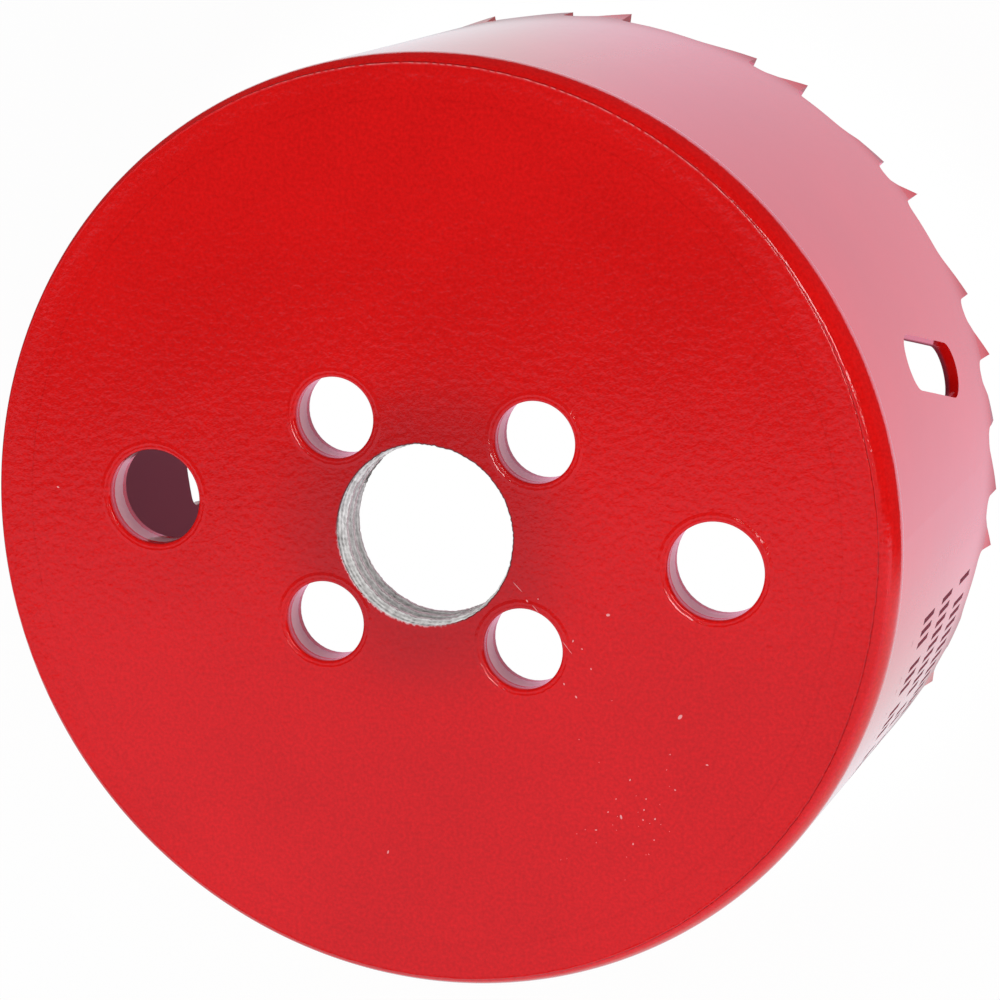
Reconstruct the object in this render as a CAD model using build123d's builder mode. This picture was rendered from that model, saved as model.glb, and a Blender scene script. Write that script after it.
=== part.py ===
"""Hole saw: a round back plate seated flush in a thin cup whose free rim is toothed.

The saw stands on its tooth tips, so Z = 0 is the plane of the tips, +Z runs up the
axis to the back plate, and the origin is on the axis. Millimetres and degrees.
"""
import os
from math import atan, atan2, cos, degrees, pi, radians, sin, tan

from build123d import *

os.makedirs("parts", exist_ok=True)

# ---- cup ------------------------------------------------------------------------
body_diameter = 78.0      # outside of the cup wall, without the set of the teeth
wall = 1.2                # thickness of the rolled steel strip
cutting_depth = 37.8      # tooth tips to the inner face of the back plate
shoulder_drop = 2.1       # height of the rounded shoulder over the welded end
shoulder_share = 0.7      # its tighter radius, as a part of its shorter side

# ---- back plate -----------------------------------------------------------------
plate_thickness = 3.6
seam_bevel = 0.15         # broken edge of the plate that shows as the weld seam
thread_major = 15.875     # 5/8 inch - 18 UNF, the bore is left at its major diameter
thread_mouth = 0.1        # broken edge at each end of the thread
pin_hole_diameter = 6.8   # four holes for the drive pins of the arbor
pin_circle = 24.4
pin_hole_count = 4
pin_angle = 39.5          # first drive pin hole, from +X
side_hole_diameter = 8.1  # two larger holes that the core is pushed out through
side_circle = 48.6
side_hole_count = 2
hole_edge = 0.15          # broken edge of the six plain holes, at the face
punch_land = 2.0          # depth to which the punch shears a plain hole cleanly
punch_break = 0.12        # below that the hole breaks out wider, this much at the cup

# ---- slots in the wall ----------------------------------------------------------
slot_count = 3
slot_length = 15.5        # end to end
slot_width = 4.8
slot_slant = 13.5         # the plate end of a slot lies further round than the rim end
slot_angle = 16.1         # first slot, from +X
slot_height = 19.8        # middle of a slot above the tooth tips

# ---- teeth ----------------------------------------------------------------------
tooth_height = 3.7        # tips to the floor of the gullets
tooth_set = 0.28          # sideways lean of a set tooth at its tip
set_height = 2.4          # the lean starts this far above the tips
back_run = 4.4            # length of a tooth's sloping back along the rim
least_gullet = 1.6        # shortest gullet, before the next back has to be steeper
gullet_radius = 1.0       # largest round between the cutting face and the gullet floor
back_radius = 3.0         # largest round between the gullet floor and the back
face_share = 0.6          # part of the shortest gullet that the first round may take
back_share = 0.3          # part of a gullet that the second round may take
first_tooth = 88.7        # place of the first tip; the rest follow clockwise
# one group of the varied pitch: distance to the next tip, and which way the tooth
# leans (1 out, -1 in, 0 not at all)
tooth_group = (
    (5.45, 0), (12.15, 1), (5.15, 0), (9.55, 1), (4.05, -1), (9.85, 1), (5.65, 0),
    (5.9, 1), (6.25, -1), (5.1, 0), (9.55, 1), (4.35, -1), (9.9, 1),
)

# ---- sizes that follow ----------------------------------------------------------
body_r = body_diameter / 2
inner_r = body_r - wall
overall_height = cutting_depth + plate_thickness
shoulder_z = overall_height - shoulder_drop
side_angle = pin_angle - 180 / pin_hole_count  # halfway between two drive pin holes
break_height = plate_thickness - punch_land
break_taper = degrees(atan(punch_break / break_height))
reach = wall + 2 * tooth_set  # how far a cutter has to pass through the wall


def shoulder_rounds():
    """Radius at the wall, radius at the plate, and the angle where the two arcs meet.

    The shoulder is a quarter of an oval, as wide as the wall and as high as its drop.
    Both arcs are tangent to each other, one to the wall and one to the plate's face.
    """
    short, long = sorted((wall, shoulder_drop))
    tight = shoulder_share * short
    wide = (short**2 + long**2 - 2 * long * tight) / (2 * (short - tight))
    at_wall, at_plate = (wide, tight) if wall < shoulder_drop else (tight, wide)
    meet = atan2(abs(shoulder_drop - at_plate), abs(wall - at_wall))
    return at_wall, at_plate, degrees(meet)


def wall_plane(angle, height):
    """Plane inside the wall, facing out: X runs counter-clockwise, Y runs up."""
    out = (cos(radians(angle)), sin(radians(angle)), 0)
    along = (-sin(radians(angle)), cos(radians(angle)), 0)
    start = (out[0] * (inner_r - reach), out[1] * (inner_r - reach), height)
    return Plane(origin=start, x_dir=along, z_dir=out)


def tooth_places():
    """List of (angle of the tip, lean, distance back to the tip before it).

    The group repeats clockwise until the rim is full, and the butt weld of the strip
    takes what is left over, so the last gap is a little off the pattern.
    """
    rim = 2 * pi * body_r
    shortest = min(pitch for pitch, lean in tooth_group)
    places = []
    travelled = 0.0
    while travelled < rim - shortest - least_gullet:
        pitch, lean = tooth_group[len(places) % len(tooth_group)]
        places.append([first_tooth - degrees(travelled / body_r), lean, travelled])
        travelled += pitch
    gaps = [places[0][2] + rim - places[-1][2]]
    gaps += [after[2] - before[2] for before, after in zip(places, places[1:])]
    return [(angle, lean, gap) for (angle, lean, at), gap in zip(places, gaps)]


def tooth_blanks(teeth):
    """Side outlines of some teeth, each pushed straight through the wall."""
    with BuildPart() as blanks:
        for angle, lean, gap in teeth:
            room = gap * inner_r / body_r  # the same gap on the tighter inside of the wall
            run = min(back_run, room - least_gullet)
            slope = atan(tooth_height / run)
            round_up = min(gullet_radius, face_share * least_gullet)
            down = min(back_radius * tan(slope / 2), back_share * (room - run))
            floor_start = (-round_up, tooth_height)
            floor_end = (run + down, tooth_height)
            on_face = (0, tooth_height - round_up)
            on_back = (run - down * cos(slope), tooth_height - down * sin(slope))
            with BuildSketch(wall_plane(angle, 0)):
                with BuildLine():
                    Line((0, 0), on_face)
                    RadiusArc(on_face, floor_start, -round_up)
                    Line(floor_start, floor_end)
                    RadiusArc(floor_end, on_back, -down / tan(slope / 2))
                    Line(on_back, (0, 0))
                make_face()
            extrude(amount=2 * reach + wall)
    return blanks.part


def rim_ring(lean):
    """The strip below the gullet floors all the way round, bent over by the set."""
    shift = lean * tooth_set
    with BuildPart() as ring:
        with BuildSketch(Plane.XZ):
            with BuildLine():
                Polyline(
                    (inner_r, tooth_height),
                    (inner_r, set_height),
                    (inner_r + shift, 0),
                    (body_r + shift, 0),
                    (body_r, set_height),
                    (body_r, tooth_height),
                    close=True,
                )
            make_face()
        revolve(axis=Axis.Z)
    return ring.part


# ---- back plate -----------------------------------------------------------------
plain_holes = (
    (pin_hole_diameter, pin_circle, pin_hole_count, pin_angle),
    (side_hole_diameter, side_circle, side_hole_count, side_angle),
)
with BuildPart() as back_plate:
    with BuildSketch(Plane.XY.offset(cutting_depth)):
        Circle(inner_r)
    extrude(amount=plate_thickness)
    chamfer(back_plate.edges().group_by(Axis.Z)[-1], seam_bevel)
    with Locations((0, 0, overall_height)):
        Hole(thread_major / 2)
    chamfer(back_plate.edges(Select.LAST).filter_by(GeomType.CIRCLE), thread_mouth)
    for diameter, circle, count, start in plain_holes:
        with Locations((0, 0, overall_height)):
            with PolarLocations(circle / 2, count, start_angle=start):
                Hole(diameter / 2)
        mouths = back_plate.edges(Select.LAST).filter_by(GeomType.CIRCLE).group_by(Axis.Z)[-1]
        chamfer(mouths, hole_edge)
        with BuildSketch(Plane.XY.offset(cutting_depth)):
            with PolarLocations(circle / 2, count, start_angle=start):
                Circle(diameter / 2 + punch_break)
        extrude(amount=break_height, taper=break_taper, mode=Mode.SUBTRACT)

# ---- toothed shell --------------------------------------------------------------
all_teeth = tooth_places()
at_wall, at_plate, meet = shoulder_rounds()
with BuildPart() as toothed_shell:
    with BuildSketch(Plane.XZ):
        with BuildLine():
            Line((inner_r, tooth_height), (body_r, tooth_height))
            Line((body_r, tooth_height), (body_r, shoulder_z))
            CenterArc((body_r - at_wall, shoulder_z), at_wall, 0, meet)
            CenterArc((inner_r, overall_height - at_plate), at_plate, meet, 90 - meet)
            Line((inner_r, overall_height), (inner_r, tooth_height))
        make_face()
    revolve(axis=Axis.Z)
    for number in range(slot_count):
        with BuildSketch(wall_plane(slot_angle + number * 360 / slot_count, slot_height)):
            SlotOverall(slot_length, slot_width, rotation=90 - slot_slant)
        extrude(amount=2 * reach + wall, mode=Mode.SUBTRACT)
    for lean in (-1, 0, 1):
        blanks = tooth_blanks([tooth for tooth in all_teeth if tooth[1] == lean])
        add(rim_ring(lean) & blanks)

back_plate.part.label = "back_plate"
toothed_shell.part.label = "toothed_shell"
export_step(back_plate.part, "parts/back_plate.step")
export_step(toothed_shell.part, "parts/toothed_shell.step")
print("overall height", overall_height, "teeth", len(all_teeth))
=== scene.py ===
"""Dressing a painted hole saw in Blender, as a lesson in small steps.

The saw comes in as two solids in metres, standing on its tooth tips on Z = 0 with the
back plate on top. Each step says what the real thing is, how it could be made here and
why this way was chosen, and prints what it made.
"""

# %% [markdown]
# The solids already have every size right, so they are loaded first and never moved.
# Everything that follows either sits on them or gives them a finish.
# Sizes are read back from the loaded solids, so that the looks follow the model.

# %% Load the solids and read their sizes
import math
import bmesh
import bpy
import numpy as np
from mathutils import Matrix, Vector


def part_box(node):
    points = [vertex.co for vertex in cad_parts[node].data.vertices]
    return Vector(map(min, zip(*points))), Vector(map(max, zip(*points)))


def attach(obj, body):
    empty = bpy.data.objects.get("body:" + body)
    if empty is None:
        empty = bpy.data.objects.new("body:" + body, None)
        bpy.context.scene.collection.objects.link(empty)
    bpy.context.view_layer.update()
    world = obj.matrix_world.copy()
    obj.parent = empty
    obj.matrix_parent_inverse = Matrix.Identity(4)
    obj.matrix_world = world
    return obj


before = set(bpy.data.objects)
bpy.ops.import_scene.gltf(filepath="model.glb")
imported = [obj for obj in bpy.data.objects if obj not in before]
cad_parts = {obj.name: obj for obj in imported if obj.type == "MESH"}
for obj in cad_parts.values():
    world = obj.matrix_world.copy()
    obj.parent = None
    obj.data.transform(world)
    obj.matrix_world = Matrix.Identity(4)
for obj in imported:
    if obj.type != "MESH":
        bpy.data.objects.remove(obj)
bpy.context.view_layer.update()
plate_low, plate_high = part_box("back_plate")
top = plate_high.z                    # height of the painted face
under = plate_low.z                   # underside of the back plate
seam_radius = plate_high.x            # where the plate meets the cup
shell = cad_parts["toothed_shell"].data
corners = np.array([v.co[:] for v in shell.vertices])
upper = corners[corners[:, 2] > top / 2]
wall_radius = float(np.hypot(upper[:, 0], upper[:, 1]).max())  # outside of the cup wall
print("face at", round(top * 1000, 2), "mm, seam at radius", round(seam_radius * 1000, 2),
      "mm, wall at", round(wall_radius * 1000, 2), "mm")

# %% [markdown]
# Blender counts in metres and a toolmaker in millimetres. Sizes below are written in
# millimetres and turned to metres in one place. A pattern's scale is a number of
# features per metre, so it is worked out from the size of one feature.

# %% Millimetres, and the scale of a pattern
MM = 0.001


def per_metre(feature_mm):
    """Pattern scale that makes one feature about this many millimetres wide."""
    return 1000.0 / feature_mm


face_mm, under_mm, seam_mm, wall_mm = (v / MM for v in (top, under, seam_radius, wall_radius))
print("orange peel of 0.65 mm needs a pattern scale of", round(per_metre(0.65)))

# %% [markdown]
# Colours are written as the hex values that a paint chart or a picture editor shows.
# Those are sRGB values, which are stretched to suit the eye, while the renderer adds up
# light. One function turns every hex value to linear light.

# %% Colours


def linear(hex_colour, alpha=1.0):
    """Each sRGB channel c becomes ((c + 0.055) / 1.055) ** 2.4, or c / 12.92 when dark."""
    c = np.array([int(hex_colour[i:i + 2], 16) for i in (1, 3, 5)]) / 255.0
    light = np.where(c > 0.04045, ((c + 0.055) / 1.055) ** 2.4, c / 12.92)
    return (*[float(v) for v in light], alpha)


print("enamel red in linear light:", [round(v, 4) for v in linear("#E21211")[:3]])

# %% [markdown]
# A finish is a small network of nodes. Adding a node always takes the same three steps:
# make it, set its options, and fill or link its inputs. One function does all three, so
# that a network below reads as a list of sentences.

# %% Adding one node


def add_node(tree, kind, inputs=None, **settings):
    """Add a node, set its options, then link or fill each input by its name or number."""
    made = tree.nodes.new(kind)
    for option, value in settings.items():
        setattr(made, option, value)
    for socket, value in (inputs or {}).items():
        if isinstance(value, bpy.types.NodeSocket):
            tree.links.new(value, made.inputs[socket])
        else:
            made.inputs[socket].default_value = value
    return made


def new_finish(name):
    """An empty material; returns the material and its node tree."""
    finish = bpy.data.materials.new(name)
    finish.use_nodes = True
    finish.node_tree.nodes.clear()
    return finish, finish.node_tree


print("node helper ready")

# %% [markdown]
# The camera looks down on the plate from about 68 degrees, a little to the right, from a
# third of a metre away. A long lens (131 mm on a 36 mm sensor) keeps the wall's
# perspective mild. It could be aimed with a constraint, but a fixed place and turn give
# the same picture every time. The three columns of the turn are the camera's right, up
# and backward.

# %% Camera
camera = bpy.data.cameras.new("camera")
camera.lens = 131.30
camera.sensor_width = 36.0
camera.shift_x = -0.0020
camera.shift_y = 0.0476
camera.clip_start = 0.01
camera_object = bpy.data.objects.new("camera", camera)
bpy.context.scene.collection.objects.link(camera_object)
camera_place = (0.099815, 0.062118, 0.314902)
camera_turn = Matrix((
    (0.948212, -0.032758, 0.315945),
    (-0.037321, 0.976289, 0.213230),
    (-0.315439, -0.213978, 0.924506),
))
camera_object.matrix_world = Matrix.Translation(camera_place) @ camera_turn.to_4x4()
bpy.context.scene.camera = camera_object
print("camera is", round(camera_object.location.length, 3), "m from the middle of the teeth")

# %% [markdown]
# Gloss paint shows its surroundings as much as its colour. The tool stands in a white
# tent that is open towards the back: everything diffuse is lit evenly from all round,
# while a mirror image finds white cloth on the near side (-Y) and dark room on the far
# side. The far half of the face then stays deep red and the near half turns paler, with a
# soft border across the middle where the orange peel shows. Real cloth and walls could be
# modelled round the tool, but the world can answer a mirror ray by its direction alone.

# %% What a mirror ray finds in the tent
world = bpy.data.worlds.new("white_tent")
bpy.context.scene.world = world
world.use_nodes = True
world.node_tree.nodes.clear()
sky = world.node_tree
direction = add_node(sky, "ShaderNodeTexCoord")
sky_axes = add_node(sky, "ShaderNodeSeparateXYZ", {0: direction.outputs["Generated"]})
near_side = add_node(sky, "ShaderNodeMapRange", {
    "Value": sky_axes.outputs["Y"], "From Min": -0.204, "From Max": -0.168,
    "To Min": 1.0, "To Max": 0.0}, interpolation_type="SMOOTHSTEP")
cloth_low, cloth_high = 0.85, 0.49    # level of the cloth near the floor and overhead
cloth = add_node(sky, "ShaderNodeMapRange", {
    "Value": sky_axes.outputs["Z"], "From Min": 0.30, "From Max": 0.90,
    "To Min": cloth_low, "To Max": cloth_high})
room_left, room_right = 0.045, 0.012  # the dark room, a little lighter at its left
room = add_node(sky, "ShaderNodeMapRange", {
    "Value": sky_axes.outputs["X"], "From Min": -0.30, "From Max": 0.05,
    "To Min": room_left, "To Max": room_right})
mirrored = add_node(sky, "ShaderNodeMix", {
    "Factor": near_side.outputs["Result"],
    "A": room.outputs["Result"], "B": cloth.outputs["Result"]})
print("cloth is", round(cloth_low / room_right), "times as bright as the darkest room")

# %% [markdown]
# The world now sorts its rays. The camera sees white, a mirror ray the tent, tinted a
# little towards violet as the gloss of this enamel is, and every other ray one plain
# level from all round.

# %% The tent as a world
even_level = 0.745                    # diffuse light, the same from every side
sky_ray = add_node(sky, "ShaderNodeLightPath")
soft = add_node(sky, "ShaderNodeMix", {
    "Factor": sky_ray.outputs["Is Glossy Ray"], "A": even_level,
    "B": mirrored.outputs["Result"]})
sky_level = add_node(sky, "ShaderNodeMix", {
    "Factor": sky_ray.outputs["Is Camera Ray"], "A": soft.outputs["Result"], "B": 1.0})
sky_tint = add_node(sky, "ShaderNodeMix", {
    "Factor": sky_ray.outputs["Is Glossy Ray"],
    "A": linear("#FFFFFF"), "B": (1.12, 1.0, 1.30, 1.0)}, data_type="RGBA")
glow = add_node(sky, "ShaderNodeBackground", {
    "Color": sky_tint.outputs["Result"], "Strength": sky_level.outputs["Result"]})
add_node(sky, "ShaderNodeOutputWorld", {"Surface": glow.outputs[0]})
print("world has", len(sky.nodes), "nodes")

# %% [markdown]
# One round lamp hangs straight above. It adds a little light, and its mirror image lands
# on every rounded edge that leans about 11 degrees towards the camera: the lips of the
# holes and the welded seam.

# %% Overhead lamp
lamp = bpy.data.lights.new("overhead", "AREA")
lamp.shape = "DISK"
lamp.size = 0.15
lamp.energy = 0.62
lamp_object = bpy.data.objects.new("overhead", lamp)
bpy.context.scene.collection.objects.link(lamp_object)
lamp_object.location = (0.0, 0.0, 0.74)
lamp_view = 2 * math.atan(lamp.size / 2 / (lamp_object.location.z - top))
print("lamp subtends", round(math.degrees(lamp_view), 1), "degrees")

# %% [markdown]
# A softbox low on the near right brightens the shoulder and the far walls of the holes,
# which face it. The enamel is meant to mirror the cloth and not the box, so mirror rays
# don't see it.

# %% Side softbox
box_light = bpy.data.lights.new("side_softbox", "AREA")
box_light.size = 0.30
box_light.energy = 1.3
box_object = bpy.data.objects.new("side_softbox", box_light)
bpy.context.scene.collection.objects.link(box_object)
box_object.location = (0.664, -0.242, 0.406)
aim = box_object.location - Vector((0.0, 0.0, top / 2))
box_object.rotation_euler = aim.to_track_quat("Z", "Y").to_euler()
box_object.visible_glossy = False
print("softbox is", round(aim.length, 2), "m away")

# %% [markdown]
# The floor is a white card, one large square just under the tooth tips.

# %% Floor card
card_half = 3.0
card = bpy.data.meshes.new("floor")
card.from_pydata([(-card_half, -card_half, 0), (card_half, -card_half, 0),
                  (card_half, card_half, 0), (-card_half, card_half, 0)], [], [(0, 1, 2, 3)])
floor = bpy.data.objects.new("floor", card)
bpy.context.scene.collection.objects.link(floor)
floor.location.z = -0.00005
print("floor card", card_half * 2, "m wide")

# %% [markdown]
# A mirror ray finds the lit patch of card that the tool stands on, and dimmer floor
# beyond it on the far side. Right beside the rim the card lies in shade, and inside the
# cup it is lit by what comes through the holes. All of it is a level by the distance
# from the axis and by the heading from it.

# %% What a mirror ray finds on the floor
cover_end = 0.0385                    # up to here the cup covers the card, in metres
shade_start, shade_end = 0.0388, 0.0402   # shade right beside the rim
patch_start, patch_end = 0.058, 0.066     # the lit patch fades out between these
paper, tree = new_finish("white_card")
place = add_node(tree, "ShaderNodeTexCoord")
away = add_node(tree, "ShaderNodeVectorMath", {0: place.outputs["Object"]},
                operation="LENGTH")
heading = add_node(tree, "ShaderNodeVectorMath", {0: place.outputs["Object"]},
                   operation="NORMALIZE")
heading_axes = add_node(tree, "ShaderNodeSeparateXYZ", {0: heading.outputs[0]})
lit_patch = add_node(tree, "ShaderNodeMapRange", {
    "Value": away.outputs["Value"], "From Min": patch_start, "From Max": patch_end,
    "To Min": 0.98, "To Max": 0.0}, interpolation_type="SMOOTHSTEP")
near_floor = add_node(tree, "ShaderNodeMapRange", {
    "Value": heading_axes.outputs["Y"], "From Min": -0.35, "From Max": -0.15,
    "To Min": 0.80, "To Max": 0.05}, interpolation_type="SMOOTHSTEP")
open_floor = add_node(tree, "ShaderNodeMath", {
    0: lit_patch.outputs["Result"], 1: near_floor.outputs["Result"]}, operation="MAXIMUM")
contact = add_node(tree, "ShaderNodeMapRange", {
    "Value": away.outputs["Value"], "From Min": shade_start, "From Max": shade_end,
    "To Min": 0.42, "To Max": 1.0}, interpolation_type="SMOOTHSTEP")
covered = add_node(tree, "ShaderNodeMath", {0: away.outputs["Value"], 1: cover_end},
                   operation="LESS_THAN")
shade = add_node(tree, "ShaderNodeMix", {
    "Factor": covered.outputs[0], "A": contact.outputs["Result"], "B": 0.80})
mirror_level = add_node(tree, "ShaderNodeMath", {
    0: open_floor.outputs[0], 1: shade.outputs["Result"]}, operation="MULTIPLY")
print("lit patch reaches", round((patch_end - wall_radius) * 1000), "mm past the wall")

# %% [markdown]
# Light that bounces between a red tool and white card takes on a tint. Here it is pinker
# on the camera's side of the tool and reddest inside the cup.

# %% Tint of the mirrored floor
front = (0.849, 0.528, 0.0)           # level heading from the tool to the camera
toward_front = add_node(tree, "ShaderNodeVectorMath", {0: heading.outputs[0], 1: front},
                        operation="DOT_PRODUCT")
pink_share = add_node(tree, "ShaderNodeMapRange", {
    "Value": toward_front.outputs["Value"], "From Min": 0.35, "From Max": 0.85},
    interpolation_type="SMOOTHSTEP")
open_tint = add_node(tree, "ShaderNodeMix", {
    "Factor": pink_share.outputs["Result"],
    "A": (0.94, 1.03, 1.08, 1.0), "B": (1.14, 1.0, 1.21, 1.0)}, data_type="RGBA")
bounced = add_node(tree, "ShaderNodeMix", {
    "Factor": covered.outputs[0], "A": open_tint.outputs["Result"],
    "B": (1.30, 0.60, 0.84, 1.0)}, data_type="RGBA")
print("front heading is", round(math.degrees(math.atan2(front[1], front[0])), 1),
      "degrees from +X")

# %% [markdown]
# To the camera the card glows at the level of paper, so that the background is clean,
# and it keeps a faint shadow round the tool. Any other ray finds plain matt card.

# %% Finish of the floor
paper_level = add_node(tree, "ShaderNodeMapRange", {
    "Value": away.outputs["Value"], "From Min": 0.040, "From Max": 0.050,
    "To Min": 1.0, "To Max": 0.95}, interpolation_type="SMOOTHSTEP")
floor_ray = add_node(tree, "ShaderNodeLightPath")
shiny = add_node(tree, "ShaderNodeMath", {
    0: floor_ray.outputs["Is Glossy Ray"], 1: floor_ray.outputs["Is Transmission Ray"]},
    operation="MAXIMUM")
glow_level = add_node(tree, "ShaderNodeMix", {
    "Factor": shiny.outputs[0], "A": 1.0, "B": mirror_level.outputs[0]})
card_tint = add_node(tree, "ShaderNodeMix", {
    "Factor": shiny.outputs[0], "A": linear("#FFFFFF"), "B": bounced.outputs["Result"]},
    data_type="RGBA")
camera_share = add_node(tree, "ShaderNodeMath", {
    0: floor_ray.outputs["Is Camera Ray"], 1: paper_level.outputs["Result"]},
    operation="MULTIPLY")
glow_share = add_node(tree, "ShaderNodeMath", {
    0: camera_share.outputs[0], 1: shiny.outputs[0]}, operation="MAXIMUM")
matt = add_node(tree, "ShaderNodeBsdfDiffuse", {"Color": linear("#F2F2F2")})
bright = add_node(tree, "ShaderNodeEmission", {
    "Color": card_tint.outputs["Result"], "Strength": glow_level.outputs["Result"]})
card_mix = add_node(tree, "ShaderNodeMixShader", {
    0: glow_share.outputs[0], 1: matt.outputs[0], 2: bright.outputs[0]})
add_node(tree, "ShaderNodeOutputMaterial", {"Surface": card_mix.outputs[0]})
card.materials.append(paper)
print("floor finish has", len(tree.nodes), "nodes")

# %% [markdown]
# A few things are too fine for the solids: the ridges of the arbor thread, the enamel that
# gathers along the weld and round each hole, and specks of dust. All are surfaces worked
# out as whole arrays of points. A grid of points becomes a skin of quads when each point
# is joined to its next neighbours, and a grid whose last row joins its first is a closed
# ring. A number per point can go along, for a finish that follows the surface.

# %% From a grid of points to a piece


def skin(name, points, finish, numbers=None):
    """Points shaped (rows, columns, 3) in mm, joined to their neighbours, closed both ways."""
    rows, columns = points.shape[:2]
    index = np.arange(rows * columns).reshape(rows, columns)
    right = np.roll(index, -1, axis=1)
    below, below_right = np.roll(index, -1, axis=0), np.roll(right, -1, axis=0)
    quads = np.stack([index, right, below_right, below], axis=-1)
    mesh = bpy.data.meshes.new(name)
    mesh.from_pydata((points * MM).reshape(-1, 3).tolist(), [], quads.reshape(-1, 4).tolist())
    mesh.polygons.foreach_set("use_smooth", np.ones(rows * columns, bool))
    for label, values in (numbers or {}).items():
        layer = mesh.attributes.new(label, "FLOAT", "POINT")
        spread_out = np.broadcast_to(values, (rows, columns)).astype(np.float32)
        layer.data.foreach_set("value", spread_out.ravel())
    mesh.materials.append(finish)
    piece = bpy.data.objects.new(name, mesh)
    bpy.context.scene.collection.objects.link(piece)
    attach(piece, "root")
    return piece


def ring_points(radius, height, angle, centre=(0.0, 0.0)):
    """x = cx + r cos(angle), y = cy + r sin(angle), z = height, for whole grids at once."""
    radius, height, angle = np.broadcast_arrays(radius, height, angle)
    x = centre[0] + radius * np.cos(angle)
    y = centre[1] + radius * np.sin(angle)
    return np.stack([x, y, height], axis=-1)


print("a grid of 10 x 20 points gives", 10 * 20, "quads")

# %% [markdown]
# Noise that a surface can use has to close on itself round the axis. A handful of sine
# waves with whole numbers of periods round the circle does that, and seeded random
# phases keep it the same on every run.

# %% Noise round a circle
chance = np.random.default_rng(7)


def ripple(angle, along, waves, periods, per_mm):
    """Sum of sin(whole number * angle + k * along + phase), scaled to about -1 to 1."""
    turns = chance.integers(periods[0], periods[1], waves)
    ways = chance.normal(0, per_mm, waves)
    phases = chance.uniform(0, 2 * np.pi, waves)
    total = sum(np.sin(n * angle + k * along + p) for n, k, p in zip(turns, ways, phases))
    return total / math.sqrt(waves)


def smooth(x, low, high):
    """0 below low, 1 above high, and 3 u^2 - 2 u^3 between them."""
    u = np.clip((x - low) / (high - low), 0, 1)
    return u * u * (3 - 2 * u)


print("ripple at angle 0:", round(float(ripple(0.0, 0.0, 8, (3, 40), 1.0)), 3))

# %% [markdown]
# The plate and the cup are sprayed together with a gloss red stoving enamel. The colour
# of such a coat is never quite even: it drifts over a centimetre or two, and a fine grain
# lies over that. Two noises, mixed between a lighter and a deeper red, give both.

# %% Plate: the red of the enamel
enamel_light = linear("#E21211")
enamel_deep = linear("#C90B0A")
plate_finish, tree = new_finish("red_stoving_enamel_plate")
place = add_node(tree, "ShaderNodeTexCoord")
spots = place.outputs["Object"]
flat = add_node(tree, "ShaderNodeVectorMath", {0: spots, 1: (1, 1, 0)}, operation="MULTIPLY")
radius = add_node(tree, "ShaderNodeVectorMath", {0: flat.outputs[0]}, operation="LENGTH")
peel = add_node(tree, "ShaderNodeTexNoise", {
    "Vector": spots, "Scale": per_metre(0.65), "Detail": 3.0, "Roughness": 0.6})
grain = add_node(tree, "ShaderNodeTexNoise", {
    "Vector": spots, "Scale": per_metre(0.28), "Detail": 2.0})
cloud = add_node(tree, "ShaderNodeTexNoise", {
    "Vector": spots, "Scale": per_metre(16), "Detail": 3.0})
speckle = add_node(tree, "ShaderNodeMath", {0: grain.outputs["Fac"], 1: 2.0, 2: -1.0},
                   operation="MULTIPLY_ADD")
tone_place = add_node(tree, "ShaderNodeMath", {0: speckle.outputs[0], 1: cloud.outputs["Fac"]},
                      operation="ADD", use_clamp=True)
tone = add_node(tree, "ShaderNodeMix", {
    "Factor": tone_place.outputs[0], "A": enamel_deep, "B": enamel_light}, data_type="RGBA")
print("deep and light enamel:", [round(v, 3) for v in (*enamel_deep[:3], *enamel_light[:3])])

# %% [markdown]
# Round the thread the tap smeared the paint with grey metal dust that fades into the red,
# with a ragged border. Lower down in the plain holes the punch broke the steel out, and
# paint hardly holds there. Both are colours by place: the distance from the axis for the
# smear, the height for the broken band.

# %% Plate: tap smear and broken-out steel
smear_start, smear_end = 9.2 * MM, 17.0 * MM
band_middle = (under + top) / 2 - 0.13 * MM
band_half = (top - under) / 2 - 0.93 * MM
beyond_holes = 31 * MM                # farther out there is no hole, only the seam
ragged = add_node(tree, "ShaderNodeMath", {
    0: cloud.outputs["Fac"], 1: 3.0 * MM, 2: radius.outputs["Value"]},
    operation="MULTIPLY_ADD")
smear = add_node(tree, "ShaderNodeMapRange", {
    "Value": ragged.outputs[0], "From Min": smear_start, "From Max": smear_end,
    "To Min": 0.42, "To Max": 0.0}, interpolation_type="SMOOTHSTEP")
smeared = add_node(tree, "ShaderNodeMix", {
    "Factor": smear.outputs["Result"], "A": tone.outputs["Result"],
    "B": linear("#8C1A1E")}, data_type="RGBA")
height = add_node(tree, "ShaderNodeSeparateXYZ", {0: spots})
broken_out = add_node(tree, "ShaderNodeMath", {
    0: height.outputs["Z"], 1: band_middle, 2: band_half}, operation="COMPARE")
in_holes = add_node(tree, "ShaderNodeMath", {0: radius.outputs["Value"], 1: beyond_holes},
                    operation="LESS_THAN")
band_here = add_node(tree, "ShaderNodeMath", {
    0: broken_out.outputs[0], 1: in_holes.outputs[0]}, operation="MULTIPLY")
bare_share = add_node(tree, "ShaderNodeMath", {0: band_here.outputs[0], 1: 0.75},
                      operation="MULTIPLY")
plate_colour = add_node(tree, "ShaderNodeMix", {
    "Factor": bare_share.outputs[0], "A": smeared.outputs["Result"],
    "B": linear("#DCC8CE")}, data_type="RGBA")
print("bare band from", round((top - band_middle - band_half) / MM, 2), "to",
      round((top - band_middle + band_half) / MM, 2), "mm below the face")

# %% [markdown]
# Enamel dries with orange peel, low bumps under a millimetre wide and a hundredth or two
# high, and that is what makes the gloss look sprayed. They are far too many for the mesh, so
# they are a bump in the finish. The enamel is a clear gloss over pigment: IOR 1.5, nearly
# smooth, no metal.

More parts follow.
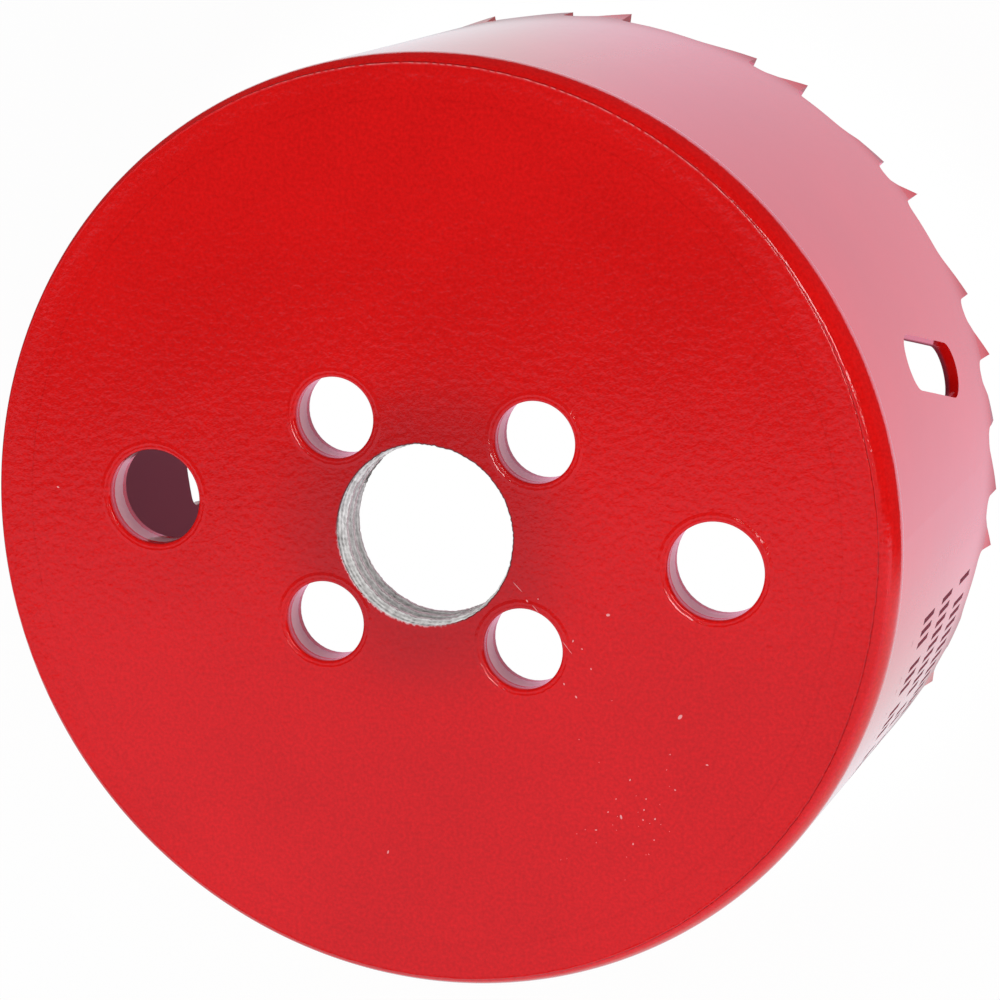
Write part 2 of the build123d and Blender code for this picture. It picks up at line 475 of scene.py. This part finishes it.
# %% Plate: orange peel and gloss
peel_height = add_node(tree, "ShaderNodeMath", {
    0: grain.outputs["Fac"], 1: 0.18, 2: peel.outputs["Fac"]}, operation="MULTIPLY_ADD")
relief = add_node(tree, "ShaderNodeBump", {
    "Height": peel_height.outputs[0], "Strength": 1.0, "Distance": 0.021 * MM})
shader = add_node(tree, "ShaderNodeBsdfPrincipled", {
    "Base Color": plate_colour.outputs["Result"], "Metallic": 0.0, "Roughness": 0.09,
    "IOR": 1.5, "Normal": relief.outputs[0]})
add_node(tree, "ShaderNodeOutputMaterial", {"Surface": shader.outputs[0]})
print("plate finish has", len(tree.nodes), "nodes")

# %% [markdown]
# The cup has the same enamel on rolled strip, which comes out smoother than the plate. The
# spray hardly reaches the inside, so there the enamel is thin and dull, and its colour is
# made darker as painted shade inside the closed cup: the finish changes where the radius is
# less than the middle of the wall, below the back plate.

# %% Cup: the enamel, outside and inside
inner_side, outer_side = seam_radius + 0.2 * MM, seam_radius + 0.5 * MM
wall_finish, tree = new_finish("red_stoving_enamel_cup")
place = add_node(tree, "ShaderNodeTexCoord")
spots = place.outputs["Object"]
flat = add_node(tree, "ShaderNodeVectorMath", {0: spots, 1: (1, 1, 0)}, operation="MULTIPLY")
radius = add_node(tree, "ShaderNodeVectorMath", {0: flat.outputs[0]}, operation="LENGTH")
height = add_node(tree, "ShaderNodeSeparateXYZ", {0: spots})
inside = add_node(tree, "ShaderNodeMapRange", {
    "Value": radius.outputs["Value"], "From Min": inner_side, "From Max": outer_side,
    "To Min": 1.0, "To Max": 0.0})
low_down = add_node(tree, "ShaderNodeMath", {0: height.outputs["Z"], 1: under},
                    operation="LESS_THAN")
dull_and_shaded_inside = add_node(tree, "ShaderNodeMath", {
    0: inside.outputs["Result"], 1: low_down.outputs[0]}, operation="MULTIPLY")
cloud = add_node(tree, "ShaderNodeTexNoise", {
    "Vector": spots, "Scale": per_metre(16), "Detail": 3.0})
peel = add_node(tree, "ShaderNodeTexNoise", {
    "Vector": spots, "Scale": per_metre(1.6), "Detail": 2.0})
tone = add_node(tree, "ShaderNodeMix", {
    "Factor": cloud.outputs["Fac"], "A": enamel_deep, "B": enamel_light}, data_type="RGBA")
# painted shade: the inside colour is darkened for the shade in the cup, on top of the thin dull
# enamel
cup_colour = add_node(tree, "ShaderNodeMix", {
    "Factor": dull_and_shaded_inside.outputs[0], "A": tone.outputs["Result"], "B": linear("#8E2A3E")},
    data_type="RGBA")
print("the finish changes between radius", round(inner_side / MM, 1), "and",
      round(outer_side / MM, 1), "mm, in the thickness of the wall")

# %% [markdown]
# Such a cup has printing on one side. Here it is a plain block of strokes with no words.
# Unrolled, the wall is a flat sheet: one coordinate is the angle times the radius, the
# other the height. A stroke is where the remainder of each falls in the inked part of
# its step, and a random number for each place leaves a quarter of the strokes out.

# %% Cup: the printed block
stroke_step, stroke_share = 1.1 * MM, 0.52
row_step, row_tall = 7.4 * MM, 4.2 * MM
print_angle, print_half_angle = math.radians(-25.5), math.radians(12.5)
print_height, print_half_height = 18.5 * MM, 11.2 * MM
wall_angle = add_node(tree, "ShaderNodeMath", {
    0: height.outputs["Y"], 1: height.outputs["X"]}, operation="ARCTAN2")
along_wall = add_node(tree, "ShaderNodeMath", {
    0: wall_angle.outputs[0], 1: wall_radius / stroke_step}, operation="MULTIPLY")
in_step = add_node(tree, "ShaderNodeMath", {0: along_wall.outputs[0], 1: 1.0},
                   operation="FLOORED_MODULO")
stroke = add_node(tree, "ShaderNodeMath", {0: in_step.outputs[0], 1: stroke_share},
                  operation="LESS_THAN")
in_row = add_node(tree, "ShaderNodeMath", {0: height.outputs["Z"], 1: row_step},
                  operation="FLOORED_MODULO")
row = add_node(tree, "ShaderNodeMath", {0: in_row.outputs[0], 1: row_tall},
               operation="LESS_THAN")
stroke_number = add_node(tree, "ShaderNodeMath", {0: along_wall.outputs[0]},
                         operation="FLOOR")
up_wall = add_node(tree, "ShaderNodeMath", {0: height.outputs["Z"], 1: row_step},
                   operation="DIVIDE")
row_number = add_node(tree, "ShaderNodeMath", {0: up_wall.outputs[0]}, operation="FLOOR")
cell = add_node(tree, "ShaderNodeCombineXYZ", {
    "X": stroke_number.outputs[0], "Y": row_number.outputs[0]})
lot = add_node(tree, "ShaderNodeTexWhiteNoise", {"Vector": cell.outputs[0]})
kept = add_node(tree, "ShaderNodeMath", {0: lot.outputs["Value"], 1: 0.75},
                operation="LESS_THAN")
sector = add_node(tree, "ShaderNodeMath", {
    0: wall_angle.outputs[0], 1: print_angle, 2: print_half_angle}, operation="COMPARE")
belt = add_node(tree, "ShaderNodeMath", {
    0: height.outputs["Z"], 1: print_height, 2: print_half_height}, operation="COMPARE")
outer = add_node(tree, "ShaderNodeMath", {
    0: radius.outputs["Value"], 1: wall_radius - 0.1 * MM}, operation="GREATER_THAN")
printed = stroke
for limit in (row, kept, sector, belt, outer):
    printed = add_node(tree, "ShaderNodeMath", {0: printed.outputs[0], 1: limit.outputs[0]},
                       operation="MULTIPLY")
print("printed block is", round(2 * print_half_angle * wall_mm, 1), "mm wide and",
      round(2 * print_half_height / MM, 1), "mm high")

# %% [markdown]
# The ink is matt and the enamel glossy, so each has its own shader, and the block of
# strokes decides which one shows. The dull inside needs no shader of its own: it differs
# in roughness here and in its painted shade above.

# %% Cup: gloss, ink and relief
gloss = add_node(tree, "ShaderNodeMapRange", {
    "Value": dull_and_shaded_inside.outputs[0], "To Min": 0.10, "To Max": 0.55})
relief = add_node(tree, "ShaderNodeBump", {
    "Height": peel.outputs["Fac"], "Strength": 1.0, "Distance": 0.006 * MM})
shader = add_node(tree, "ShaderNodeBsdfPrincipled", {
    "Base Color": cup_colour.outputs["Result"], "Metallic": 0.0,
    "Roughness": gloss.outputs["Result"], "IOR": 1.5, "Normal": relief.outputs[0]})
ink = add_node(tree, "ShaderNodeBsdfPrincipled", {
    "Base Color": linear("#77152F"), "Roughness": 0.7, "Specular IOR Level": 0.15})
dressed = add_node(tree, "ShaderNodeMixShader", {
    0: printed.outputs[0], 1: shader.outputs[0], 2: ink.outputs[0]})
add_node(tree, "ShaderNodeOutputMaterial", {"Surface": dressed.outputs[0]})
print("cup finish has", len(tree.nodes), "nodes")

# %% [markdown]
# The two solids keep their shape and place and only change their finish, so the
# finishes they came with are cleared and one of the two above goes on each.

# %% Put the finishes on the solids
for node, finish in (("back_plate", plate_finish), ("toothed_shell", wall_finish)):
    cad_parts[node].data.materials.clear()
    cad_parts[node].data.materials.append(finish)
print("finishes on", sorted(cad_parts))

# %% [markdown]
# Bare cut steel (machined mild steel), pale grey, with fine tool marks round the hole, and
# dark oil in the roots together with painted shade there. Tool marks are far finer than a
# pixel, so they are drawn at 0.15 mm, as coarse as they need to be to show. Polished steel would
# be fully metallic
# and mirror the dark room, but a rough-tapped thread scatters most of its light, so
# Metallic stays low here.

# %% Finish of the cut thread
cut_steel, tree = new_finish("cut_steel_thread")
place = add_node(tree, "ShaderNodeTexCoord")
stretched = add_node(tree, "ShaderNodeMapping", {
    "Vector": place.outputs["Object"], "Scale": (1.0, 1.0, 5.0)})
tool_marks = add_node(tree, "ShaderNodeTexNoise", {
    "Vector": stretched.outputs[0], "Scale": per_metre(0.75), "Detail": 4.0,
    "Roughness": 0.7})
steel_tone = add_node(tree, "ShaderNodeMapRange", {
    "Value": tool_marks.outputs["Fac"], "From Min": 0.36, "From Max": 0.62})
steel = add_node(tree, "ShaderNodeMix", {
    "Factor": steel_tone.outputs["Result"], "A": linear("#C9C6C4"),
    "B": linear("#FDFBF9")}, data_type="RGBA")
# painted shade: this number darkens the roots of the thread, together with oil and the tap marks
oil_and_root_shade = add_node(tree, "ShaderNodeAttribute", attribute_name="oil_and_root_shade")
oiled_and_shaded = add_node(tree, "ShaderNodeMix", {
    "Factor": oil_and_root_shade.outputs["Fac"], "A": steel.outputs["Result"], "B": linear("#3B3634")},
    data_type="RGBA")
grime = add_node(tree, "ShaderNodeTexNoise", {
    "Vector": place.outputs["Object"], "Scale": per_metre(1.6), "Detail": 3.0})
rough = add_node(tree, "ShaderNodeMapRange", {
    "Value": grime.outputs["Fac"], "From Min": 0.3, "From Max": 0.7,
    "To Min": 0.30, "To Max": 0.5})
relief = add_node(tree, "ShaderNodeBump", {
    "Height": tool_marks.outputs["Fac"], "Strength": 0.6, "Distance": 0.04 * MM})
shader = add_node(tree, "ShaderNodeBsdfPrincipled", {
    "Base Color": oiled_and_shaded.outputs["Result"], "Metallic": 0.12,
    "Roughness": rough.outputs["Result"], "Normal": relief.outputs[0]})
add_node(tree, "ShaderNodeOutputMaterial", {"Surface": shader.outputs[0]})
print("thread finish has", len(tree.nodes), "nodes")

# %% [markdown]
# Two finishes are the plate's enamel with something on top, led by a number that the
# piece carries at each point. A copy of the finish gets extra mixes between its colour
# and its shader: enamel torn pale or darkened with oil at the thread, and enamel with
# dirt and painted shade in the hairline and chips along the weld.

# %% Enamel with marks on it


def marked_enamel(name, marks):
    """Copy the plate's enamel and mix in a colour by each named number of the piece."""
    finish = plate_finish.copy()
    finish.name = name
    tree = finish.node_tree
    shader = next(n for n in tree.nodes if n.type == "BSDF_PRINCIPLED")
    colour = shader.inputs["Base Color"].links[0].from_socket
    for label, hex_colour in marks:
        amount = add_node(tree, "ShaderNodeAttribute", attribute_name=label)
        marked = add_node(tree, "ShaderNodeMix", {
            "Factor": amount.outputs["Fac"], "A": colour, "B": linear(hex_colour)},
            data_type="RGBA")
        colour = marked.outputs["Result"]
    tree.links.new(colour, shader.inputs["Base Color"])
    return finish


torn_finish = marked_enamel("torn_enamel_and_oil", [("pale", "#E9B9BE"), ("oily", "#4A2226")])
seam_finish = marked_enamel("weld_seam_enamel", [("dirt_and_groove_shade", "#4A0A10"), ("chipped", "#EDB4B4")])
print("marked finishes:", torn_finish.name, seam_finish.name)

# %% [markdown]
# The thread is a 5/8 inch thread with 18 turns to the inch, tapped after painting. It
# could be a swept triangle, but a ring whose radius depends on angle and height gives the
# ridges and the torn crests in one formula. At the face the thread starts with a full
# groove on one side and a crest on the other.

# %% Profile of the arbor thread
pitch = 25.4 / 18
root_mm, crest_mm = 7.925, 7.30       # the root lies just in front of the bore of the solid
crest_at_face = math.radians(30)      # where a crest comes out at the face


def thread_radius(angle, depth):
    """60 degree profile: crest a quarter of the pitch, root an eighth, straight flanks."""
    phase = np.mod(0.5 + depth / pitch + (angle - crest_at_face) / (2 * np.pi), 1.0)
    from_crest = np.abs(phase - 0.5) * 2
    flank = np.clip((from_crest - 0.25) / 0.625, 0, 1)
    return crest_mm + (root_mm - crest_mm) * flank


bore_angle = np.linspace(0, 2 * np.pi, 360, endpoint=False)[None, :]
depth = np.linspace(0, face_mm - under_mm, 130)[:, None]
torn = ripple(bore_angle, depth, 16, (12, 120), 5.0)
uneven = 0.02 * ripple(bore_angle, depth, 6, (2, 9), 0.5)
bore = thread_radius(bore_angle, depth + uneven)
torn_crest = np.clip(0.03 * torn, -0.03, 0.06) * (bore < crest_mm + 0.3)
bore = bore + torn_crest
print("bore between radius", round(float(bore.min()), 2), "and", round(float(bore.max()), 2), "mm")

# %% [markdown]
# Oil and dust stay in the roots and in the marks of the tap, which run along the thread
# as fine dark lines. The strongest line lies in the root and is also painted shade there.
# Each line is a place in the pitch, a width and a strength. Oil and shade together are a
# number per point, which the finish turns dark.

# %% Oil and painted shade lines, and the thread as a piece
# painted shade: the line at 0.5 of the pitch lies in the root
oil_and_shade_line_list = (                     # place in the pitch, width, strength
    (0.5, 0.06, 0.85), (0.12, 0.035, 0.45), (0.27, 0.03, 0.6), (0.38, 0.03, 0.4),
    (0.66, 0.03, 0.55), (0.78, 0.035, 0.35), (0.9, 0.03, 0.6))
in_pitch = np.mod(depth / pitch + (bore_angle - crest_at_face) / (2 * np.pi), 1.0)
oil_and_shade_lines = sum(strength * np.exp(-((in_pitch - at) / width) ** 2)
                for at, width, strength in oil_and_shade_line_list)
oil_and_shade_lines = np.clip(1.1 * oil_and_shade_lines * (0.85 + 0.4 * torn), 0, 0.92)
behind_mm = 8.5                       # two hidden rows close the ring behind the bore
ring_r = np.concatenate([bore, bore[-1:] + 0.4, np.full((1, 360), behind_mm)])
ring_z = np.concatenate([face_mm - 0.01 - depth + 0 * bore,
                         bore[-1:] * 0 + under_mm + 0.3,
                         np.full((1, 360), face_mm - 0.4)])
thread = skin("arbor_thread_ridges", ring_points(ring_r, ring_z, bore_angle), cut_steel,
              {"oil_and_root_shade": np.concatenate([oil_and_shade_lines, np.zeros((2, 360))])})
print("thread piece has", len(thread.data.polygons), "faces and",
      round((face_mm - under_mm) / pitch, 2), "turns")

# %% [markdown]
# The tap tore the enamel at the mouth. A flat collar of paint closes the gap between the
# face and the first ridge: its inner edge is the thread's own outline at the face with
# nicks in it, pale where the paint lifted and dark with oil where it held. The rows rise
# so gently from the face that no border shows, and the last two close the ring below it.

# %% The torn paint round the thread
mouth_degrees = np.degrees(bore_angle)
lifted = smooth(mouth_degrees, 165, 200) * smooth(-mouth_degrees, -300, -262)
nicks = ripple(bore_angle, 0, 30, (25, 170), 0)
mouth_r = bore[:1] + 0.015 + lifted * np.clip(0.05 * nicks + 0.03, 0, 0.16)
across = np.array([0.0, 0.0, 0.04, 0.09, 0.16, 0.26, 0.4, 0.6])[:, None]
outer_rows = np.array([8.2, 8.35, 8.52, 8.6, 8.5, 8.3])[:, None]
furthest = np.linspace(8.05, 8.15, len(across))[:, None]
collar_r = np.concatenate([np.minimum(mouth_r + across, furthest), outer_rows + 0 * mouth_r])
collar_up = np.array([-0.12, -0.01, 0.002, 0.003, 0.003, 0.0025, 0.002, 0.0018,
                      0.0015, 0.0008, -0.0006, -0.004, -0.3, -0.4])[:, None]
from_mouth = np.concatenate([across, np.array([0.8, 1.0, 1.1, 1.2, 1.2, 0.4])[:, None]])
pale_width = 0.10 + 0.05 * np.clip(nicks, -1, 2)
pale_edge = lifted * np.clip(1.1 - from_mouth / pale_width, 0, 1)
oily_edge = (1 - lifted) * np.clip(1.3 - from_mouth / 0.10, 0, 1)
collar = skin("torn_paint_collar",
              ring_points(collar_r, face_mm + collar_up + 0 * collar_r, bore_angle),
              torn_finish, {"pale": pale_edge, "oily": oily_edge})
print("paint is torn over", round(float((lifted > 0.5).mean() * 360)), "degrees of the mouth")

# %% [markdown]
# The shell is welded to the plate all round and the weld is ground and painted over. What
# is left is a hairline that wanders, because plate and strip were never quite concentric:
# on one side it lies well inside the shoulder, on the other almost on the silhouette.
# A few places of the line, joined smoothly round the circle, are enough to draw it.

# %% Where the hairline runs
line_at = np.array([                  # degrees from +X, radius in mm
    (-50, 37.9), (-35, 37.8), (-20, 37.5), (-10, 37.42), (0, 37.5), (15, 37.5), (30, 37.72),
    (45, 37.95), (60, 38.08), (75, 38.2), (90, 38.32), (110, 38.4), (130, 38.45),
    (150, 38.42), (170, 38.36), (190, 38.32), (210, 38.22), (230, 38.2), (250, 38.2),
    (270, 38.2), (290, 38.12)])
seam_angle = np.linspace(0, 2 * np.pi, 1200, endpoint=False)[None, :]
seam_degrees = np.degrees(seam_angle)
seam_line = np.interp(seam_degrees, line_at[:, 0], line_at[:, 1], period=360)
seam_line = seam_line + 0.012 * ripple(seam_angle, 0, 9, (30, 160), 0)
print("hairline between radius", round(float(seam_line.min()), 2), "and",
      round(float(seam_line.max()), 2))

# %% [markdown]
# The shoulder of the solid is an oval of two arcs. Walking along its section with one
# number s, in millimetres, makes the ring easy: s is below zero on the flat face, runs over
# the two arcs, and ends on the wall.

# %% Section of the solid along one number
shoulder_drop, tight_share = 2.1, 0.7  # height of the shoulder; tight radius over its width
step = wall_mm - seam_mm
tight = tight_share * step
wide = (step**2 + shoulder_drop**2 - 2 * shoulder_drop * tight) / (2 * (step - tight))
meet = math.atan2(shoulder_drop - tight, wide - step)
arc_one = tight * (math.pi / 2 - meet)
arc_two = wide * meet


def section(s):
    """Radius, height and lean (0 flat, 90 degrees at the wall) of the solid at s."""
    lean = np.where(s < arc_one, s / tight, math.pi / 2 - meet + (s - arc_one) / wide)
    lean = np.clip(lean, 0, math.pi / 2)
    on_one = lean < math.pi / 2 - meet
    r = np.where(on_one, seam_mm + tight * np.sin(lean), wall_mm - wide + wide * np.sin(lean))
    z = np.where(on_one, tight * np.cos(lean) - tight, wide * np.cos(lean) - shoulder_drop)
    r = r + np.minimum(s, 0)
    z = face_mm + z - np.maximum(s - arc_one - arc_two, 0)
    return r, z, lean


walk = np.linspace(0, arc_one + arc_two, 400)
line_on_arcs = np.interp(seam_line, section(walk)[0], walk)
line_s = np.where(seam_line < seam_mm, seam_line - seam_mm, line_on_arcs)
print("shoulder arcs", round(arc_one, 2), "and", round(arc_two, 2), "mm long")

# %% [markdown]
# Each row of the ring lies at a fixed distance from the hairline, closely spaced near it,
# and the last rows spread over the rest of the shoulder.

# %% Rows of the weld seam
beside = np.array([-4.2, -3.4, -2.7, -2.1, -1.6, -1.2, -0.9, -0.65, -0.45, -0.34, -0.26,
                   -0.2, -0.15, -0.11, -0.08, -0.055, -0.035, -0.018, 0, 0.018, 0.035,
                   0.055, 0.08, 0.11, 0.15, 0.2, 0.26, 0.33])[:, None]
spread = np.linspace(0, 1, 25)[1:, None] ** 1.1
past_line = arc_one + arc_two + 0.25 - (line_s + beside[-1])
s = np.concatenate([line_s + beside, line_s + beside[-1] + spread * past_line])
off = s - line_s                      # distance of each point from the hairline
solid_r, solid_z, lean = section(s)
print("seam has", len(s), "rows of", seam_angle.size, "points")

# %% [markdown]
# Enamel gathers into a low bead on both sides of the line, and the line itself is a narrow
# groove. Where the shoulder faces the camera, lumps in the paint catch the lamp as glints:
# there the film follows the solid's own curve back to a small flat that leans at the lamp.

# %% Film of enamel over the weld
shoulder_end = arc_one + arc_two
glint_middle, glint_spread = 21, 17   # degrees from +X
turned_away = np.mod(seam_degrees - glint_middle + 180, 360) - 180
facing = np.exp(-(turned_away / glint_spread) ** 2)
lumps = ripple(seam_angle, 0, 26, (70, 420), 0)
beads = np.clip(0.35 + 0.65 * ripple(seam_angle, 0, 12, (20, 110), 0), 0, 1.6)
film = 0.030 * smooth(off, -1.7, -0.3) * smooth(shoulder_end - s, -0.2, 1.2) + 0.008
film = film - 0.0075 * smooth(-off, 0.6, 2.6) - 0.0025 * smooth(-off, 2.6, 4.0)
film = film + 0.008 * np.exp(-((off - 0.17) / 0.085) ** 2)
lamp_lean = 0.14                      # the shoulder leans at the lamp this far out, in mm
facet = np.clip((s - lamp_lean) ** 2 / (2 * tight), 0, 0.0152)
facet = facet * smooth(s, -0.05, -0.01) * smooth(-s, -0.5, -0.3)
film = film + smooth(facing * beads * (1 + 0.25 * lumps), 0.18, 0.38) * facet
film = film + 0.010 * np.exp(-((off + 0.12) / 0.06) ** 2)
film = film - 0.032 * np.exp(-(off / 0.026) ** 2)
film = np.maximum(film, -0.002)
print("film up to", round(float(film.max()), 3), "mm thick")

# %% [markdown]
# The face of the plate stays flat as far as the hairline, so where the line lies out on
# the shoulder the ring makes the plate's real edge. Four rows under the face close it.
# Dirt and painted shade darken the line, and beside it the paint is chipped pale in places.

# %% The welded seam
outside_line = smooth(off, -0.05, 0.06)
flat_z = face_mm + film
curved_z = solid_z + film * np.cos(lean)
seam_r = solid_r + outside_line * film * np.sin(lean)
seam_z = (1 - outside_line) * flat_z + outside_line * curved_z
tail = np.array([(38.9, -2.6), (38.2, -1.6), (36.6, -0.5), (33.2, -0.2)])
seam_r = np.concatenate([seam_r, tail[:, :1] + 0 * line_s])
seam_z = np.concatenate([seam_z, face_mm + tail[:, 1:] + 0 * line_s])
printed_side = smooth(seam_degrees, 300, 330)
# painted shade: the groove of the hairline is darkened for its shade, along with dirt
dirt_and_shade_share = 0.75 - 0.35 * printed_side - 0.35 * smooth(-seam_degrees, -12, 0)
line_width = 0.028 + 0.05 * printed_side
dirt_and_groove_shade = dirt_and_shade_share * np.exp(-(off / line_width) ** 2) * np.clip(0.8 + 0.4 * lumps, 0.2, 1)
worn = smooth(seam_degrees, 35, 50) * smooth(-seam_degrees, -125, -95)
worn = worn * np.clip(0.6 + 0.5 * lumps, 0, 1)
chipped = 0.55 * worn * np.exp(-((off + 0.09) / 0.035) ** 2)
no_mark = np.zeros((len(tail), seam_angle.size))
seam = skin("painted_weld_seam", ring_points(seam_r, seam_z, seam_angle), seam_finish,
            {"dirt_and_groove_shade": np.concatenate([dirt_and_groove_shade, no_mark]),
             "chipped": np.concatenate([chipped, no_mark])})
print("seam ring has", len(seam.data.polygons), "faces")

# %% [markdown]
# Each of the six plain holes was punched before painting, so enamel gathers round its
# mouth: a low bead half a millimetre out, then a round roll into the hole. A bead is a
# small closed ring whose section is the same all round, and six rings are made by one
# function from the hole's middle and radius.

# %% Lips of the plain holes
lip_out = np.array([0.85, 0.81, 0.77, 0.72, 0.67, 0.62, 0.57, 0.53,
                    0.50, 0.47, 0.43, 0.39, 0.35, 0.30, 0.24])
lip_up = np.array([-0.006, -0.0015, 0.0015, 0.0055, 0.0098, 0.0142, 0.0188, 0.0218,
                   0.0226, 0.0190, 0.0107, 0.0028, 0.0016, 0.0020, 0.0030])
roll = np.linspace(90, 0, 9)[1:] * math.pi / 180
bead_at = 0.5                         # the top of the bead, from the wall of the hole


def lip_ring(name, centre, hole_mm, angle):
    """Section in (distance from the hole's wall, height over the face), carried round it."""
    out = np.concatenate([lip_out, 0.2 - 0.218 * np.cos(roll), [-0.018, -0.018, 0.12, 0.7]])
    up = np.concatenate([lip_up, -0.2 + 0.212 * np.sin(roll), [-0.4, -0.7, -0.9, -0.5]])
    out, up = out[:, None], up[:, None]
    wobble = 0.025 * ripple(angle, 0, 8, (5, 40), 0)
    ring_radius = hole_mm + out + wobble * np.exp(-((out - bead_at) / 0.25) ** 2)
    return skin(name, ring_points(ring_radius, face_mm + up, angle, centre), plate_finish)


hole_angle = np.linspace(0, 2 * np.pi, 144, endpoint=False)[None, :]
pins = [(12.2, 39.5 + 90 * n, 3.4) for n in range(4)]      # distance out, degrees, radius
sides = [(24.3, -5.5 + 180 * n, 4.05) for n in range(2)]
for number, (out_mm, round_degrees, hole_mm) in enumerate(pins + sides, 1):
    way = math.radians(round_degrees)
    centre = (out_mm * math.cos(way), out_mm * math.sin(way))
    lip_ring(f"hole_lip_{number}", centre, hole_mm, hole_angle)
print("lips round", len(pins + sides), "holes")

# %% [markdown]
# Dust fell into the wet enamel and the handled face has a few scratches. They show as
# pale specks, at most a quarter of a millimetre wide. The larger ones stand in set places,
# and the finest are scattered by chance over the same corner of the face.

# %% Places of the specks and scratches
placed_specks = np.array([            # x and y in mm, size
    (8.32, -5.34, 1.0), (15.16, -6.24, 1.7), (12.12, -8.53, 0.9), (12.86, -9.16, 0.8),
    (11.23, -12.17, 0.9), (13.57, -10.8, 0.8), (12.22, -13.21, 1.0), (9.27, -5.14, 0.7),
    (15.72, -23.17, 1.3), (17.69, -22.46, 0.9), (14.62, -22.81, 0.8), (18.6, -23.17, 1.0),
    (18.47, -24.96, 0.8), (16.67, -25.41, 1.0), (13.54, -24.4, 0.8), (16.58, -19.98, 0.8),
    (17.89, -21.52, 0.7), (15.34, -21.66, 0.7), (17.58, -23.31, 0.8), (23.11, -18.37, 0.9),
    (20.37, -20.62, 0.8), (-4.74, -27.41, 1.1), (20.96, -14.47, 2.0), (-32.96, 2.95, 1.0)])
fine_count = 26
fine_specks = np.column_stack([chance.normal(16.5, 3.2, fine_count),
                               chance.normal(-22.5, 3.6, fine_count),
                               chance.uniform(0.25, 0.42, fine_count)])
specks = np.concatenate([placed_specks, fine_specks])
scratches = np.array([                # x and y of both ends in mm
    (7.18, -3.8, 7.92, -4.6), (8.74, -5.66, 9.23, -6.22), (11.19, -8.56, 12.0, -9.62)])
print(len(specks), "specks and", len(scratches), "scratches")

# %% [markdown]
# Each speck is a flattened ball sunk halfway into the face, turned by chance and up to
# twice as long as wide. A scratch is a ball drawn out into a sliver between its ends.

# %% Size and turn of each speck
speck_turn = chance.uniform(0, np.pi, len(specks))
drawn_out = chance.uniform(1.0, 2.2, len(specks))
speck_mm = 0.068 * specks[:, 2]       # half the width of a speck
scratch_run = scratches[:, 2:] - scratches[:, :2]
scratch_turn = np.arctan2(scratch_run[:, 1], scratch_run[:, 0])
scratch_half = np.hypot(scratch_run[:, 0], scratch_run[:, 1]) / 2
mark_at = np.concatenate([specks[:, :2], (scratches[:, :2] + scratches[:, 2:]) / 2])
mark_turn = np.concatenate([speck_turn, scratch_turn])
long_mm = np.concatenate([speck_mm * drawn_out, scratch_half])
short_mm = np.concatenate([speck_mm, np.full(len(scratches), 0.028)])
high_mm = np.concatenate([speck_mm * 0.35, np.full(len(scratches), 0.025)])
print("specks are", round(float(2 * speck_mm.min()), 2), "to",
      round(float(2 * speck_mm.max()), 2), "mm wide")

# %% [markdown]
# All of them are one mesh: the same small ball, scaled, turned and shifted for every mark
# at once.

# %% One mesh of specks
ball = bmesh.new()
bmesh.ops.create_icosphere(ball, subdivisions=2, radius=1.0)
ball_points = np.array([v.co[:] for v in ball.verts])
ball_faces = np.array([[v.index for v in f.verts] for f in ball.faces])
ball.free()
local = ball_points[None] * np.stack([long_mm, short_mm, high_mm], axis=-1)[:, None]
cosine, sine = np.cos(mark_turn)[:, None], np.sin(mark_turn)[:, None]
mark_points = np.stack([mark_at[:, :1] + cosine * local[..., 0] - sine * local[..., 1],
                        mark_at[:, 1:] + sine * local[..., 0] + cosine * local[..., 1],
                        face_mm + local[..., 2]], axis=-1)
first_point = np.arange(len(mark_at))[:, None, None] * len(ball_points)
mark_faces = ball_faces[None] + first_point
speck_mesh = bpy.data.meshes.new("dust_specks")
speck_mesh.from_pydata((mark_points * MM).reshape(-1, 3).tolist(), [],
                       mark_faces.reshape(-1, 3).tolist())
print("speck mesh has", len(speck_mesh.polygons), "faces")

# %% [markdown]
# The dust shows pale and matt through the thin skin of enamel over it.

# %% Finish of the specks
dust, tree = new_finish("dust_in_enamel")
shader = add_node(tree, "ShaderNodeBsdfPrincipled", {
    "Base Color": linear("#EE9C9E"), "Roughness": 0.6})
add_node(tree, "ShaderNodeOutputMaterial", {"Surface": shader.outputs[0]})
speck_mesh.materials.append(dust)
speck_piece = bpy.data.objects.new("dust_specks", speck_mesh)
bpy.context.scene.collection.objects.link(speck_piece)
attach(speck_piece, "root")
print("specks ride on the root")

# %% [markdown]
# The standard view shows each colour as it was written, without a film look.

# %% View settings
bpy.context.scene.view_settings.view_transform = "Standard"
